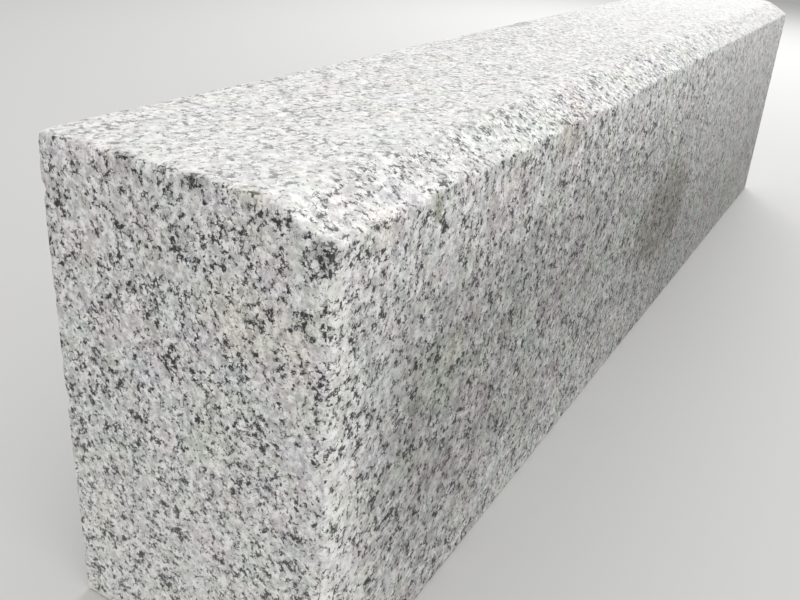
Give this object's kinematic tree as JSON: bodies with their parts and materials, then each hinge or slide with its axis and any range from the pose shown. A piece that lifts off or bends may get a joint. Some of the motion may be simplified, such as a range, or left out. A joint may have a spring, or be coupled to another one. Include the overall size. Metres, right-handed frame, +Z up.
{
  "type": "granite kerb stone",
  "caption": "Straight rectangular granite kerb stone with a shallow chamfer along the top of its front face, bedded on edge and butted end to end to edge a road.",
  "frame": {"origin": "centre of the bed, the sawn face that lies on the mortar", "axes": "+X along the kerb, +Y from the front (road) face to the back, +Z up"},
  "size_m": [1, 0.15, 0.25],
  "materials": {
    "granite": "pale grey granite with black mica flecks; near end sawn flat, top, chamfer and front slightly rough (how they were worked is not certain); the hidden faces are taken as sawn"
  },
  "bodies": {
    "root": {"kerb_stone": "granite"}
  },
  "joints": []
}
